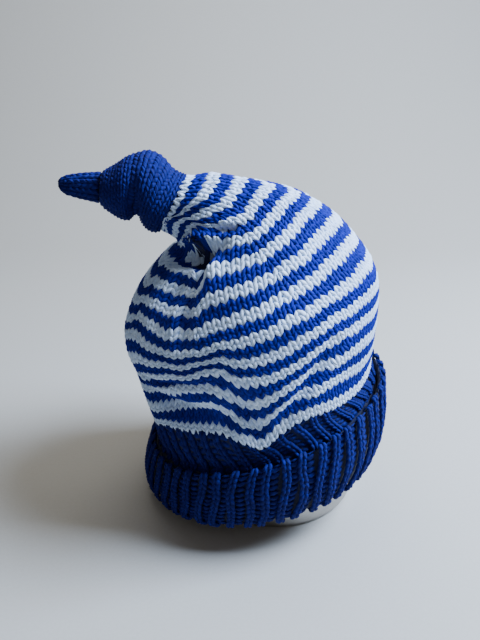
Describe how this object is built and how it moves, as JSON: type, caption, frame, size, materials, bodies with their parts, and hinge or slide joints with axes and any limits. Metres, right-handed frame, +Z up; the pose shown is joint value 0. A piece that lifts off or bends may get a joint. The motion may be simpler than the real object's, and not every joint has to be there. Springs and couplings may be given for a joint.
{
  "type": "knitted nightcap on a steel tin stand",
  "caption": "Striped knitted stocking nightcap with a turned-up ribbed brim and a knotted end, pulled over an open plain steel tin that holds it up.",
  "frame": {"origin": "centre of the tin's flat base, on the surface that it stands on", "axes": "+Z up along the tin, -X towards the knot, -Y towards the viewer of the picture"},
  "size_m": [0.1651, 0.1328, 0.1845],
  "materials": {
    "striped_wool": "knitted yarn, blue and white stripes",
    "blue_wool": "knitted yarn, royal blue",
    "steel": "satin"
  },
  "bodies": {
    "root": {"crown": "striped_wool", "brim": "blue_wool", "knot": "blue_wool", "tail": "blue_wool", "stand": "steel"}
  },
  "joints": []
}
